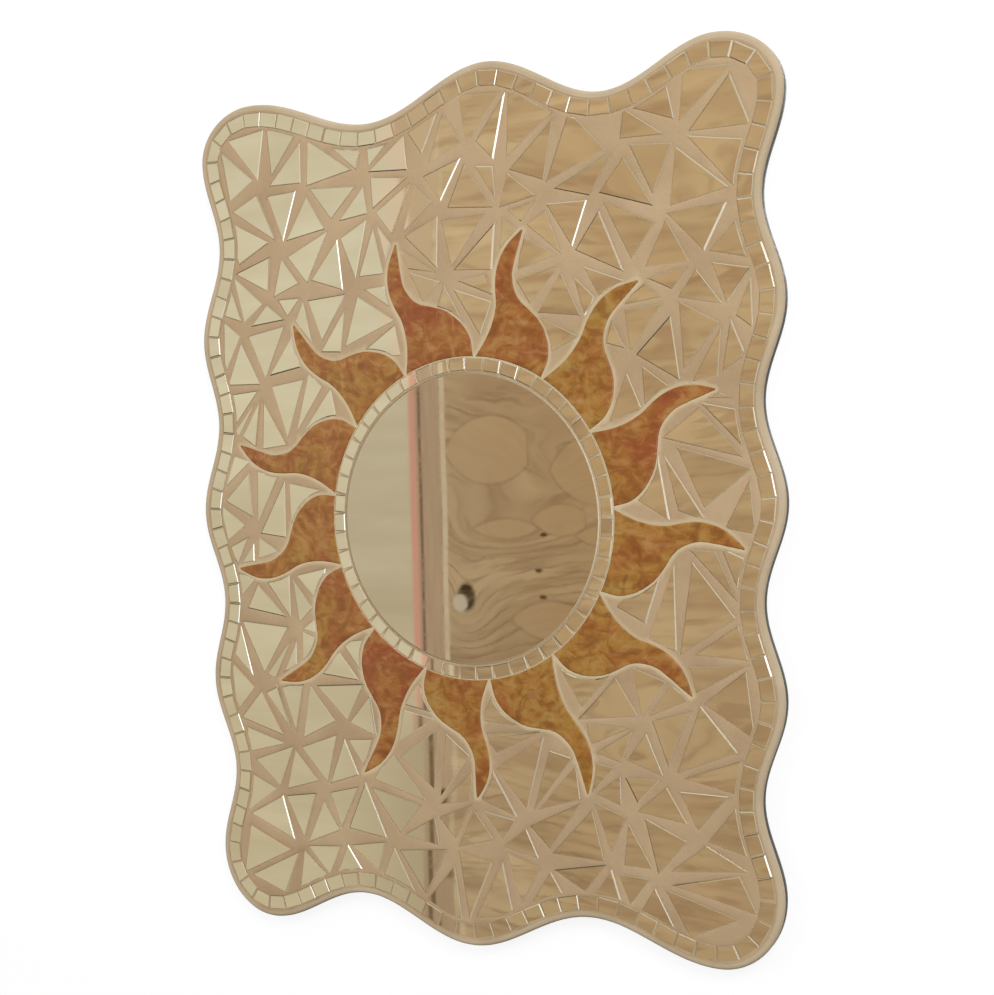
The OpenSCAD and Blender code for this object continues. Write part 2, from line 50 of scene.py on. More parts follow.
RAYS = ["%02d" % n for n in range(1, 14)]
SIDES = ("top", "left", "bottom", "right")


def depths(node):
    """Back and front of a node, in millimetres in front of the wall."""
    low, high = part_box(node)
    return -high[1] * 1000, -low[1] * 1000


GLASS_BACK, GLASS_FRONT = depths("centre_mirror")
BOARD_BACK, BOARD_FRONT = depths("backing_board")
GROUT_FRONT = depths("grout_field")[1]


# Camera, as the photograph was taken, with the focal length and the optical axis's row in its pixels
def make_camera():
    photo_height = 995
    focal_length = 1564.70
    level_row = 600
    yaw, pitch, roll = 0.51022, 0.08571, -0.02278
    place = (0.72456, -1.25669, 0.04583)
    cam = bpy.data.objects.new("camera", bpy.data.cameras.new("camera"))
    bpy.context.scene.collection.objects.link(cam)
    turn = Matrix.Rotation(roll, 3, "Z") @ Matrix.Rotation(pitch, 3, "X") @ Matrix.Rotation(yaw, 3, "Y")
    across = turn @ Matrix(((1, 0, 0), (0, 0, -1), (0, 1, 0)))
    basis = Matrix((across[0], -across[1], -across[2])).transposed().to_4x4()
    cam.matrix_world = Matrix.Translation(place) @ basis
    cam.data.sensor_width = 36
    cam.data.lens = focal_length / photo_height * cam.data.sensor_width
    cam.data.shift_y = (level_row - photo_height / 2) / photo_height
    cam.data.clip_start = 0.01
    bpy.context.scene.camera = cam


# Node helpers
class Tree:
    """A node tree that is written from the inside out."""

    def __init__(self, owner):
        owner.use_nodes = True
        self.tree = owner.node_tree
        self.tree.nodes.clear()

    def add(self, kind, values=(), **settings):
        made = self.tree.nodes.new(kind)
        for key, value in settings.items():
            setattr(made, key, value)
        for key, value in dict(values).items():
            self.put(made.inputs[key], value)
        return made

    def put(self, socket, value):
        if isinstance(value, bpy.types.NodeSocket):
            self.tree.links.new(value, socket)
        elif isinstance(value, tuple) and len(value) == 3 and socket.type == "RGBA":
            socket.default_value = (*value, 1)
        else:
            socket.default_value = value

    def place(self, scale=(1, 1, 1), shift=(0, 0, 0), turn=0):
        where = self.add("ShaderNodeTexCoord").outputs["Object"]
        return self.add("ShaderNodeMapping", {"Vector": where, "Scale": scale, "Location": shift,
                                              "Rotation": (0, turn, 0)}).outputs[0]

    def noise(self, vector, scale, detail=3.0, rough=0.5, distort=0.0):
        return self.add("ShaderNodeTexNoise", {"Vector": vector, "Scale": scale, "Detail": detail,
                                               "Roughness": rough, "Distortion": distort}).outputs["Fac"]

    def ramp(self, factor, stops, smooth=False):
        made = self.add("ShaderNodeValToRGB", {"Fac": factor})
        band = made.color_ramp
        band.interpolation = "EASE" if smooth else "LINEAR"
        while len(band.elements) < len(stops):
            band.elements.new(0.5)
        for element, (at, colour) in zip(band.elements, stops):
            element.position = at
            element.color = (*colour, 1) if isinstance(colour, tuple) else (colour, colour, colour, 1)
        return made.outputs[0]

    def mix(self, factor, a, b, blend="MIX"):
        made = self.add("ShaderNodeMix", data_type="RGBA", blend_type=blend)
        self.put(made.inputs[0], factor)
        self.put(made.inputs[6], a)
        self.put(made.inputs[7], b)
        return made.outputs[2]

    def math(self, operation, a, b=0.0, clamp=False):
        made = self.add("ShaderNodeMath", operation=operation, use_clamp=clamp)
        self.put(made.inputs[0], a)
        self.put(made.inputs[1], b)
        return made.outputs[0]

    def fit(self, value, low, high, to_low=0.0, to_high=1.0):
        values = {"Value": value, "From Min": low, "From Max": high, "To Min": to_low, "To Max": to_high}
        return self.add("ShaderNodeMapRange", values).outputs[0]

    def axes(self):
        where = self.add("ShaderNodeTexCoord").outputs["Object"]
        return self.add("ShaderNodeSeparateXYZ", {"Vector": where}).outputs

    def bump(self, height, distance, strength=1.0, normal=None):
        values = {"Height": height, "Distance": distance, "Strength": strength}
        if normal:
            values["Normal"] = normal
        return self.add("ShaderNodeBump", values).outputs[0]

    def tone(self):
        return self.add("ShaderNodeAttribute", attribute_name="tone").outputs["Fac"]

    def finish(self, shader, kind="ShaderNodeOutputMaterial"):
        self.tree.links.new(shader, self.add(kind).inputs["Surface"])

    def principled(self, values):
        self.finish(self.add("ShaderNodeBsdfPrincipled", values).outputs[0])


def material(name):
    made = bpy.data.materials.new(name)
    return made, Tree(made)


# Materials
def mirror_material(name, dark, light):
    made, t = material(name)
    where = t.place()
    cloud = t.noise(where, 7.0, 2.0)
    smear = t.noise(t.place((1, 1, 3)), 26.0, 5.0, 0.6, 0.8)
    share = t.math("ADD", t.math("MULTIPLY", t.tone(), 0.6), t.math("MULTIPLY", cloud, 0.4))
    tint = t.mix(share, dark, light)
    wave = t.bump(t.noise(where, 9.0, 1.0), 0.0016, 0.03)
    t.principled({"Base Color": tint, "Metallic": 1.0, "Roughness": t.fit(smear, 0.45, 0.75, 0.012, 0.045),
                  "Normal": t.bump(smear, 0.0001, 0.03, wave)})
    return made


def arris_material():
    made, t = material("ground_glass_edge")
    where = t.place()
    grain = t.noise(where, 900.0, 3.0)
    tint = t.mix(t.noise(where, 60.0, 2.0), (0.76, 0.75, 0.66), (0.88, 0.87, 0.80))
    matt = t.fit(t.tone(), 0.66, 0.60)
    tint = t.mix(matt, tint, (0.66, 0.62, 0.52))
    rough = t.math("ADD", t.fit(grain, 0.3, 0.7, 0.09, 0.18), t.math("MULTIPLY", matt, 0.30))
    t.principled({"Base Color": tint, "Metallic": 1.0, "Roughness": rough,
                  "Normal": t.bump(grain, 0.0001, 0.12)})
    return made


def glass_side_material():
    made, t = material("cut_glass_side")
    where = t.place()
    tint = t.mix(t.noise(where, 120.0, 3.0), (0.14, 0.14, 0.105), (0.29, 0.28, 0.21))
    rough = t.fit(t.noise(where, 500.0), 0.3, 0.7, 0.12, 0.35)
    t.principled({"Base Color": tint, "Roughness": rough, "IOR": 1.5})
    return made


def grout_material(name, dark, light, pale):
    made, t = material(name)
    where = t.place()
    patch = t.noise(where, 11.0, 4.0, 0.55, 0.6)
    grain = t.noise(where, 620.0, 4.0, 0.65)
    speck = t.add("ShaderNodeTexVoronoi", {"Vector": where, "Scale": 900.0}).outputs["Distance"]
    tint = t.mix(t.fit(patch, 0.3, 0.7), dark, light)
    tint = t.mix(t.fit(grain, 0.52, 0.78, 0.0, 0.45), tint, pale)
    tint = t.mix(t.fit(speck, 0.16, 0.05, 0.0, 0.35), tint, (0.20, 0.13, 0.07))
    # The tone attribute pales the grout beside the rays: partly feathered grout, partly a painted highlight.
    tint = t.mix(t.fit(t.tone(), 0.0, 1.0, 0.0, 0.7), tint, (0.70, 0.575, 0.36))
    fine = t.bump(grain, 0.0004, 0.45)
    t.principled({"Base Color": tint, "Roughness": t.fit(grain, 0.3, 0.7, 0.75, 0.95),
                  "Normal": t.bump(patch, 0.003, 0.12, fine)})
    return made


def stained_material():
    made, t = material("streaky_amber_glass")
    where = t.place()
    patch = t.noise(where, 13.0, 3.0, 0.55, 1.4)
    share = t.math("ADD", patch, t.fit(t.tone(), 0.0, 1.0, -0.16, 0.16))
    swirl = t.noise(where, 38.0, 4.0, 0.55, 2.0)
    fine = t.noise(t.place((1, 1, 2.0), turn=0.5), 58.0, 3.0, 0.5, 1.2)
    tint = t.ramp(share, [(0.30, (0.320, 0.082, 0.024)), (0.44, (0.360, 0.130, 0.028)),
                          (0.56, (0.385, 0.178, 0.033)), (0.72, (0.390, 0.240, 0.052))], True)
    tint = t.mix(t.fit(swirl, 0.49, 0.38, 0.0, 0.60), tint, (0.225, 0.062, 0.014))
    tint = t.mix(t.fit(swirl, 0.53, 0.64, 0.0, 0.55), tint, (0.480, 0.265, 0.080))
    tint = t.mix(t.fit(fine, 0.47, 0.34, 0.0, 0.48), tint, (0.200, 0.062, 0.015))
    tint = t.mix(t.fit(fine, 0.55, 0.68, 0.0, 0.30), tint, (0.520, 0.290, 0.100))
    ripple = t.bump(swirl, 0.0015, 0.16)
    t.principled({"Base Color": tint, "Roughness": t.fit(fine, 0.3, 0.7, 0.10, 0.24), "IOR": 1.5,
                  "Coat Weight": 0.25, "Coat Roughness": 0.08,
                  "Normal": t.bump(fine, 0.0004, 0.15, ripple)})
    return made


def paint_material():
    made, t = material("brushed_dark_paint")
    stroke = t.noise(t.place((22, 1, 1.6)), 26.0, 5.0, 0.6)
    patch = t.noise(t.place(), 9.0, 4.0, 0.6, 0.5)
    chip = t.noise(t.place(), 160.0, 5.0, 0.7)
    tint = t.mix(t.fit(patch, 0.3, 0.7), (0.026, 0.030, 0.026), (0.050, 0.054, 0.046))
    tint = t.mix(t.fit(stroke, 0.5, 0.75, 0.0, 0.5), tint, (0.082, 0.084, 0.070))
    tint = t.mix(t.fit(chip, 0.70, 0.76), tint, (0.27, 0.18, 0.10))
    t.principled({"Base Color": tint, "Roughness": t.fit(stroke, 0.3, 0.7, 0.5, 0.72),
                  "Normal": t.bump(stroke, 0.0006, 0.35)})
    return made


def adhesive_material():
    made, t = material("dried_adhesive")
    lump = t.noise(t.place(), 90.0, 4.0, 0.6)
    t.principled({"Base Color": t.mix(lump, (0.50, 0.46, 0.38), (0.68, 0.64, 0.56)),
                  "Roughness": t.fit(lump, 0.3, 0.7, 0.5, 0.75), "Normal": t.bump(lump, 0.001, 0.3)})
    return made


def metal_material(name, dark, light, rough):
    made, t = material(name)
    brush = t.noise(t.place((1, 1, 14)), 420.0, 4.0, 0.6)
    spot = t.noise(t.place(), 140.0, 4.0, 0.65)
    tint = t.mix(t.fit(spot, 0.35, 0.65), dark, light)
    t.principled({"Base Color": tint, "Metallic": 1.0,
                  "Roughness": t.fit(spot, 0.3, 0.7, rough, rough + 0.16),
                  "Normal": t.bump(brush, 0.0002, 0.12)})
    return made


def rubber_material():
    made, t = material("black_rubber")
    grain = t.noise(t.place(), 500.0, 4.0, 0.6)
    dust = t.noise(t.place(), 60.0, 4.0, 0.6)
    tint = t.mix(t.fit(dust, 0.5, 0.8, 0.0, 0.6), (0.018, 0.018, 0.018), (0.075, 0.070, 0.062))
    t.principled({"Base Color": tint, "Roughness": t.fit(grain, 0.3, 0.7, 0.62, 0.85),
                  "Normal": t.bump(grain, 0.0003, 0.3)})
    return made


MIRROR = mirror_material("silvered_glass", (0.775, 0.80, 0.755), (0.890, 0.925, 0.885))
# The round mirror is a darker copy of the silvered glass: painted shade that dims everything it reflects.
SHADED_ROUND_MIRROR = mirror_material("shaded_round_silvered_glass", (0.635, 0.635, 0.595), (0.715, 0.720, 0.680))
ARRIS = arris_material()
GLASS_SIDE = glass_side_material()
GROUT = grout_material("sandy_grout", (0.44, 0.298, 0.165), (0.555, 0.395, 0.230), (0.68, 0.51, 0.32))
# The rim's grout is a paler copy of the field grout: painted light on the rounded rim.
LIT_EDGE_GROUT = grout_material("lit_edge_grout", (0.49, 0.375, 0.235), (0.61, 0.485, 0.330), (0.70, 0.60, 0.44))
STAINED = stained_material()
PAINT = paint_material()
ADHESIVE = adhesive_material()
BRASS = metal_material("brass_plate", (0.50, 0.36, 0.15), (0.74, 0.57, 0.28), 0.22)
STEEL = metal_material("zinc_plate", (0.44, 0.45, 0.46), (0.64, 0.65, 0.65), 0.26)
RUBBER = rubber_material()


# Mesh helpers
class Build:
    """Collects one piece's vertices and faces, each face with a material number and a tone."""

    def __init__(self):
        self.verts, self.faces, self.kinds, self.tones, self.soft = [], [], [], [], []
        self.point_tones = []

    def ring(self, points, depth):
        first = len(self.verts)
        for x, z in points:
            d = depth(x, z) if callable(depth) else depth
            self.verts.append((x / 1000, -d / 1000, z / 1000))
        return list(range(first, len(self.verts)))

    def face(self, ids, kind=0, tone=0.5, soft=True):
        self.faces.append(tuple(ids))
        self.kinds.append(kind)
        self.tones.append(tone)
        self.soft.append(soft)

    def wall(self, back, front, kind=0, tone=0.5, soft=True):
        """Quads between two rings of a loop that runs counterclockwise seen from the front."""
        for i in range(len(back)):
            j = (i + 1) % len(back)
            self.face((back[i], back[j], front[j], front[i]), kind, tone, soft)

    def piece(self, name, materials, body, replaced, slot, smooth_angle=30):
        mesh = bpy.data.meshes.new(name)
        mesh.from_pydata(self.verts, [], self.faces)
        for each in materials:
            mesh.materials.append(each)
        mesh.polygons.foreach_set("material_index", self.kinds)
        if self.point_tones:
            mesh.attributes.new("tone", "FLOAT", "POINT").data.foreach_set("value", self.point_tones)
        else:
            mesh.attributes.new("tone", "FLOAT", "FACE").data.foreach_set("value", self.tones)
        mesh.set_sharp_from_angle(angle=math.radians(smooth_angle))
        mesh.polygons.foreach_set("use_smooth", self.soft)
        mesh.validate()
        mesh.update()
        made = bpy.data.objects.new(name, mesh)
        bpy.context.scene.collection.objects.link(made)
        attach(made, body)
        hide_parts(*replaced)
        return made


def signed_area(loop):
    return sum(a[0] * b[1] - a[1] * b[0] for a, b in zip(loop, loop[1:] + loop[:1])) / 2


def face_loops(node, side=-1):
    """The closed loops around a node's front faces (or back faces with side 1), in millimetres."""
    mesh = NODES[node].data
    tolerance = 1e-5
    level = max(side * v.co.y for v in mesh.vertices) - tolerance
    open_edges = set()
    for face in mesh.polygons:
        if face.normal.y * side < 0.9 or side * face.center.y < level:
            continue
        places = [mesh.vertices[v].co for v in face.vertices]
        ids = [(round(p.x * 1e6), round(p.z * 1e6)) for p in places]
        for a, b in zip(ids, ids[1:] + ids[:1]):
            if (b, a) in open_edges:
                open_edges.discard((b, a))
            else:
                open_edges.add((a, b))
    after = {}
    for a, b in sorted(open_edges):
        after.setdefault(a, []).append(b)
    loops = []
    while after:
        start = min(after)
        loop = [start]
        while True:
            here = loop[-1]
            step = after[here].pop()
            if not after[here]:
                del after[here]
            if step == start:
                break
            loop.append(step)
        loops.append([(x / 1000, z / 1000) for x, z in loop])
    return loops


def split(loop, step):
    """The loop with points at most a step apart."""
    made = []
    for a, b in zip(loop, loop[1:] + loop[:1]):
        n = max(1, round(math.dist(a, b) / step))
        made += [(a[0] + (b[0] - a[0]) * i / n, a[1] + (b[1] - a[1]) * i / n) for i in range(n)]
    return made


def inset(loop, widths):
    """A counterclockwise loop with each edge moved inwards by its own width."""
    nearly_straight, longest_mitre = 0.2, 3.2
    n = len(loop)
    lines = []
    for i in range(n):
        a, b = loop[i], loop[(i + 1) % n]
        run = math.dist(a, b) or 1e-9
        lines.append(((b[0] - a[0]) / run, (b[1] - a[1]) / run))
    made = []
    for i in range(n):
        (ux, uz), (vx, vz) = lines[i - 1], lines[i]
        w1, w2 = widths[i - 1], widths[i]
        turn = ux * vz - uz * vx
        if abs(turn) < nearly_straight:
            nx, nz = -(uz + vz), ux + vx
            size = math.hypot(nx, nz) or 1e-9
            move = (nx / size * (w1 + w2) / 2, nz / size * (w1 + w2) / 2)
        else:
            move = ((vx * w1 - ux * w2) / turn, (vz * w1 - uz * w2) / turn)
            size = math.hypot(*move)
            most = longest_mitre * max(w1, w2)
            if size > most:
                move = (move[0] * most / size, move[1] * most / size)
        made.append((loop[i][0] + move[0], loop[i][1] + move[1]))
    return made


def run_inwards(loop):
    """Unit vectors that point inwards at each point of a counterclockwise loop."""
    made = []
    for a, c in zip(loop[-1:] + loop[:-1], loop[1:] + loop[:1]):
        run = math.dist(a, c)
        made.append(((a[1] - c[1]) / run, (c[0] - a[0]) / run))
    return made


def offset(loop, directions, width):
    return [(x + nx * width, z + nz * width) for (x, z), (nx, nz) in zip(loop, directions)]


def filled(outer, holes, inner):
    """Triangles between a counterclockwise loop and clockwise holes, with more points inside."""
    verts = [Vector(p) for p in outer]
    loops = [list(range(len(outer)))]
    for hole in holes:
        loops.append(list(range(len(verts), len(verts) + len(hole))))
        verts += [Vector(p) for p in reversed(hole)]
    verts += [Vector(p) for p in inner]
    points, _, faces, _, _, owners = geometry.delaunay_2d_cdt(verts, [], loops, 1, 1e-5)
    kept = [f for f, owner in zip(faces, owners) if owner == [0]]
    return [(p.x, p.y) for p in points], kept


# Flat glass pieces: mirror shards and tiles
# Long edges on the right of a piece are ground at more varied slopes, and catch the light
SHORT_EDGE, LONG_EDGE, STEEP = 8, 9, 0.85
RIGHT_SLOPES = (14, 40)


def add_tile(build, loop, rng, drops, slopes, tilt):
    """One cut piece of mirror with a ground arris of its own slope on each edge, set at a slight tilt."""
    n = len(loop)
    cx, cz = sum(p[0] for p in loop) / n, sum(p[1] for p in loop) / n
    around = sum(math.dist(p, q) for p, q in zip(loop, loop[1:] + loop[:1]))
    widest = 0.8 * signed_area(loop) / around
    drop = rng.uniform(*drops)
    usual = rng.uniform(*slopes)
    widths, finishes = [], []
    for p, q in zip(loop, loop[1:] + loop[:1]):
        run = math.dist(p, q)
        slope = rng.uniform(*slopes) if run > SHORT_EDGE else usual
        if run > LONG_EDGE and (q[1] - p[1]) / run > STEEP:
            slope = rng.uniform(*RIGHT_SLOPES)
        widths.append(min(widest, drop / math.tan(math.radians(slope))))
        finishes.append(rng.random())
    gx, gz = rng.uniform(-tilt, tilt), rng.uniform(-tilt, tilt)
    rise = max(gx * (x - cx) + gz * (z - cz) for x, z in loop)
    tone = rng.random()

    def face_depth(x, z):
        return GLASS_FRONT + gx * (x - cx) + gz * (z - cz) - rise

    back = build.ring(loop, GLASS_BACK)
    rim = build.ring(loop, lambda x, z: face_depth(x, z) - drop)
    front = build.ring(inset(loop, widths), face_depth)
    build.face(reversed(back), 2, tone, False)
    build.wall(back, rim, 2, tone, False)
    for i, finish in enumerate(finishes):
        j = (i + 1) % n
        build.face((rim[i], rim[j], front[j], front[i]), 1, finish, False)
    build.face(front, 0, tone, False)


def make_tiles(name, node, seed, drops, slopes, tilt):
    build, rng = Build(), random.Random(seed)
    for loop in sorted(face_loops(node)):
        add_tile(build, loop, rng, drops, slopes, tilt)
    build.piece(name, (MIRROR, ARRIS, GLASS_SIDE), "panel", (node,), "mirror_glass")


def circle(radius, steps, centre=SUN):
    turns = [2 * math.pi * i / steps for i in range(steps)]
    return [(centre[0] + radius * math.cos(a), centre[1] + radius * math.sin(a)) for a in turns]


MIRROR_R = (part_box("centre_mirror")[1][0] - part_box("centre_mirror")[0][0]) * 500
MIRROR_STEPS = 240


def make_centre_mirror():
    build = Build()
    profile = ((0, 0.6), (0.35, 0.28), (0.95, 0.06), (1.7, 0.0))
    back = build.ring(circle(MIRROR_R, MIRROR_STEPS), GLASS_BACK)
    rings = [build.ring(circle(MIRROR_R - w, MIRROR_STEPS), GLASS_FRONT - d) for w, d in profile]
    build.face(reversed(back), 2)
    build.wall(back, rings[0], 2)
    for a, b in zip(rings, rings[1:]):
        build.wall(a, b, 1)
    build.face(rings[-1], 0, 0.62, False)
    build.piece("round_mirror", (SHADED_ROUND_MIRROR, ARRIS, GLASS_SIDE), "panel", ("centre_mirror",),
                "mirror_glass")


# Stained-glass rays: a rippled, hand-rolled face with a soft edge
RAY_TONES = (0.02, 0.25, 0.95, 0.45, 0.55, 0.70, 0.85, 0.75, 0.40, 0.30, 0.45, 0.20, 0.50)


def inside(loop, x, z):
    odd = False
    for (ax, az), (bx, bz) in zip(loop, loop[1:] + loop[:1]):
        if (az > z) != (bz > z) and x < ax + (z - az) / (bz - az) * (bx - ax):
            odd = not odd
    return odd


def drawn_in(loop, width):
    """The loop moved inwards, less near a sharp tip, so that its two sides never cross."""
    share_of_room = 0.3
    made = []
    n = len(loop)
    for i, (p, (nx, nz)) in enumerate(zip(loop, run_inwards(loop))):
        room = 1e9
        for j in range(n):
            a, b = loop[j], loop[(j + 1) % n]
            ux, uz = b[0] - a[0], b[1] - a[1]
            turn = nx * uz - nz * ux
            if i in (j, (j + 1) % n) or abs(turn) < 1e-9:
                continue
            far = ((a[0] - p[0]) * uz - (a[1] - p[1]) * ux) / turn
            place = ((a[0] - p[0]) * nz - (a[1] - p[1]) * nx) / turn
            if far > 0 and 0 <= place <= 1:
                room = min(room, far)
        step = min(width, share_of_room * room)
        made.append((p[0] + nx * step, p[1] + nz * step))
    return made


def make_ray(number, tone):
    node = "sun_ray_" + number
    loop = split(face_loops(node)[0], 4.5)
    seed = 7.0 * int(number)
    n = len(loop)
    bevel = drawn_in(loop, 0.45)
    flat = drawn_in(loop, 1.3)
    lip_drop, side_drop = 0.16, 0.75

    def face_depth(x, z):
        wave = noise.noise(Vector((x / 11, z / 11, seed)))
        wave += 0.5 * noise.noise(Vector((x / 4.5, z / 4.5, seed)))
        return GLASS_FRONT - 0.13 + 0.08 * wave

    grid = []
    xs, zs = [p[0] for p in loop], [p[1] for p in loop]
    step = 2.6
    for i in range(int((max(xs) - min(xs)) / step) + 1):
        for j in range(int((max(zs) - min(zs)) / step) + 1):
            x, z = min(xs) + (i + (j % 2) / 2) * step, min(zs) + j * step
            if inside(flat, x, z) and min(math.dist((x, z), p) for p in flat) > step * 0.55:
                grid.append((x, z))
    points, faces = filled(flat, [], grid)
    build = Build()
    back = build.ring(loop, GLASS_BACK)
    rim = build.ring(loop, GLASS_FRONT - side_drop)
    lip = build.ring(bevel, lambda x, z: face_depth(x, z) - lip_drop)
    top = build.ring(points, face_depth)
    build.face(reversed(back), 0, tone)
    build.wall(back, rim, 0, tone)
    build.wall(rim, lip, 0, tone)
    build.wall(lip, top[:n], 0, tone)
    for f in faces:
        build.face([top[i] for i in f], 0, tone)
    build.piece("glass_ray_" + number, (STAINED,), "panel", (node,), "stained_glass", 40)


# Grout: one sheet that rises from a thin gutter beside each piece, paler beside the rays, partly as feathered
# grout and partly as a painted highlight
def make_grout():
    loops = face_loops("grout_field")
    ray_loops = [split(face_loops("sun_ray_" + number)[0], 1.5) for number in RAYS]
    outer = max(loops, key=signed_area)
    mirror_hole = min(loops, key=signed_area)
    holes = [split(loop, 5.0) for loop in loops if loop is not outer and loop is not mirror_hole]
    holes.append(list(reversed(circle(MIRROR_R, MIRROR_STEPS))))
    count = sum(len(loop) for loop in holes)
    tree = kdtree.KDTree(count)
    for i, (x, z) in enumerate(p for loop in holes for p in loop):
        tree.insert((x, z, 0), i)
    tree.balance()
    extra = []
    for loop in holes:
        for a, b, c in zip(loop[-1:] + loop[:-1], loop, loop[1:] + loop[:1]):
            run = math.dist(a, c)
            if run < 0.4:
                continue
            nx, nz = (a[1] - c[1]) / run, (c[0] - a[0]) / run
            for off in (0.55, 1.7, 4.2):
                q = (b[0] + nx * off, b[1] + nz * off)
                if tree.find((*q, 0))[2] > off * 0.8:
                    extra.append(q)
    extra = [p for p in extra if tree.find((*p, 0))[2] > 0.3]
    points, faces = filled(outer, holes, extra)
    gutter_depth, gutter_width, crown = 0.20, 0.8, 0.34

    def face_depth(x, z):
        near = tree.find((x, z, 0))[2]
        rise = 1 - math.exp(-(near / gutter_width) ** 1.3)
        sweep = noise.noise(Vector((x / 16, z / 16, 3.0))) * 0.10
        sweep += noise.noise(Vector((x / 5, z / 5, 9.0))) * 0.05
        return GROUT_FRONT - gutter_depth + rise * (crown + sweep)

    beside = kdtree.KDTree(sum(len(loop) for loop in ray_loops))
    for i, (x, z) in enumerate(p for loop in ray_loops for p in loop):
        beside.insert((x, z, 0), i)
    beside.balance()

    # Paler grout within a few millimetres of the rays: partly feathered grout, partly a painted highlight
    # along their edges.
    def feather_and_sheen(x, z):
        reach = 4.2 + 1.6 * noise.noise(Vector((x / 14, z / 14, 5.0)))
        return min(1.0, max(0.0, reach - beside.find((x, z, 0))[2]) / 3.2)

    build = Build()
    top = build.ring(points, face_depth)
    for i in range(len(outer)):
        x, _, z = build.verts[i]
        build.verts[i] = (x, -GROUT_FRONT / 1000, z)
    base = build.ring(points, GLASS_BACK)
    edges = set()
    for f in faces:
        build.face([top[i] for i in f])
        build.face([base[i] for i in reversed(f)])
        edges |= {(f[i], f[(i + 1) % 3]) for i in range(3)}
    for a, b in sorted(edges):
        if (b, a) not in edges:
            build.face((base[a], base[b], top[b], top[a]))
    build.point_tones = [feather_and_sheen(*p) for p in points] * 2
    build.piece("grout_sheet", (GROUT,), "panel", ("grout_field",), "grout", 55)


def make_rim():
    loops = face_loops("grout_rim", 1)
    outline = max(loops, key=lambda loop: abs(signed_area(loop)))
    inner = min(loops, key=lambda loop: abs(signed_area(loop)))
    if signed_area(outline) < 0:
        outline = outline[::-1]
    width = min(math.dist(outline[0], p) for p in inner)
    inwards = run_inwards(outline)
    height = GROUT_FRONT - BOARD_FRONT
    round_r = 3.0
    profile = [(0.35, 0.0), (0.0, 0.35)]
    profile += [(round_r * (1 - math.cos(a)), height - round_r * (1 - math.sin(a))) for a in
                (math.pi / 2 * i / 9 for i in range(10))]
    profile += [(width * 0.8, height), (width, height)]
    build = Build()
    rings = []
    for j, (w, h) in enumerate(profile):
        ring = []
        for (x, z), (nx, nz) in zip(outline, inwards):
            rough = noise.noise(Vector((x / 9, z / 9, j * 0.35)))
            loose = 1.0 if 1 < j < len(profile) - 1 else 0.0
            d = w + max(0.0, 0.14 * loose * (rough + 0.5))
            ring.append((x + nx * d, z + nz * d, BOARD_FRONT + h - 0.10 * loose * abs(rough)))
        first = len(build.verts)
        build.verts += [(x / 1000, -d / 1000, z / 1000) for x, z, d in ring]
        rings.append(list(range(first, len(build.verts))))
    rings.append(build.ring(offset(outline, inwards, width), BOARD_FRONT))
    for a, b in zip(rings, rings[1:] + rings[:1]):
        build.wall(a, b, 0, 0.0)
    build.piece("grout_edge", (LIT_EDGE_GROUT,), "panel", ("grout_rim",), "grout", 60)


def make_board():
    outline = face_loops("backing_board")[0]
    inwards = run_inwards(outline)
    build = Build()
    rings = []
    for width, depth in ((0.9, BOARD_BACK), (0.25, BOARD_BACK + 0.28), (0.0, BOARD_BACK + 0.9),
                         (0.0, BOARD_FRONT - 0.4), (0.3, BOARD_FRONT)):
        rings.append(build.ring(offset(outline, inwards, width), depth))
    build.face(reversed(rings[0]))
    for a, b in zip(rings, rings[1:]):
        build.wall(a, b)
    build.face(rings[-1])
    build.piece("painted_board", (PAINT,), "panel", ("backing_board",), "board_paint", 50)


# Hangers, screws and pads
HANGER_X, HANGER_Z = frame["joints"][1]["pos_m"][0] * 1000, frame["joints"][1]["pos_m"][2] * 1000
PIVOT = -frame["joints"][1]["pos_m"][1] * 1000
WIRE_R = (depths("hanger_ring_right")[1] - depths("hanger_ring_right")[0]) / 2


def make_strap(side, name):
    """A sheet-metal strap: one strip with a round end, rolled into a knuckle around the ring's bar."""
    low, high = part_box("hanger_strap_" + name)
    thick = 1.2
    corner = 5
    roll_start, roll_turn = 168, 292
    half = (high[0] - low[0]) * 500
    length = HANGER_Z - low[2] * 1000
    middle = BOARD_BACK - thick / 2
    stations = []
    for i in range(9):
        a = math.pi / 2 * i / 8
        stations.append(((middle, -length + corner * (1 - math.cos(a))),
                         half - corner + corner * math.sin(a)))
    bend = WIRE_R + 0.06 + thick / 2
    stations += [((middle, z), half) for z in (-length * 0.5, -4.0, -2.0)]
    for i in range(22):
        a = math.radians(roll_start - roll_turn * i / 21)
        stations.append(((PIVOT - bend * math.cos(a), bend * math.sin(a)), half))
    c = 0.22
    t = thick / 2
    build = Build()
    rings = []
    for i, ((d, z), w) in enumerate(stations):
        before, after = stations[max(0, i - 1)][0], stations[min(len(stations) - 1, i + 1)][0]
        run = math.dist(before, after)
        nd, nz = (after[1] - before[1]) / run, -(after[0] - before[0]) / run
        section = [(-w, -t + c), (-w + c, -t), (w - c, -t), (w, -t + c),
                   (w, t - c), (w - c, t), (-w + c, t), (-w, t - c)]
        first = len(build.verts)
        for x, off in section:
            build.verts.append(((side * HANGER_X + x) / 1000, -(d + nd * off) / 1000,
                                (HANGER_Z + z + nz * off) / 1000))
        rings.append(list(range(first, first + 8)))
    build.face(rings[0])
    for a, b in zip(rings, rings[1:]):
        build.wall(b, a)
    build.face(reversed(rings[-1]))
    build.piece("strap_" + name, (BRASS,), "panel", ("hanger_strap_" + name,), "hanger_steel", 35)


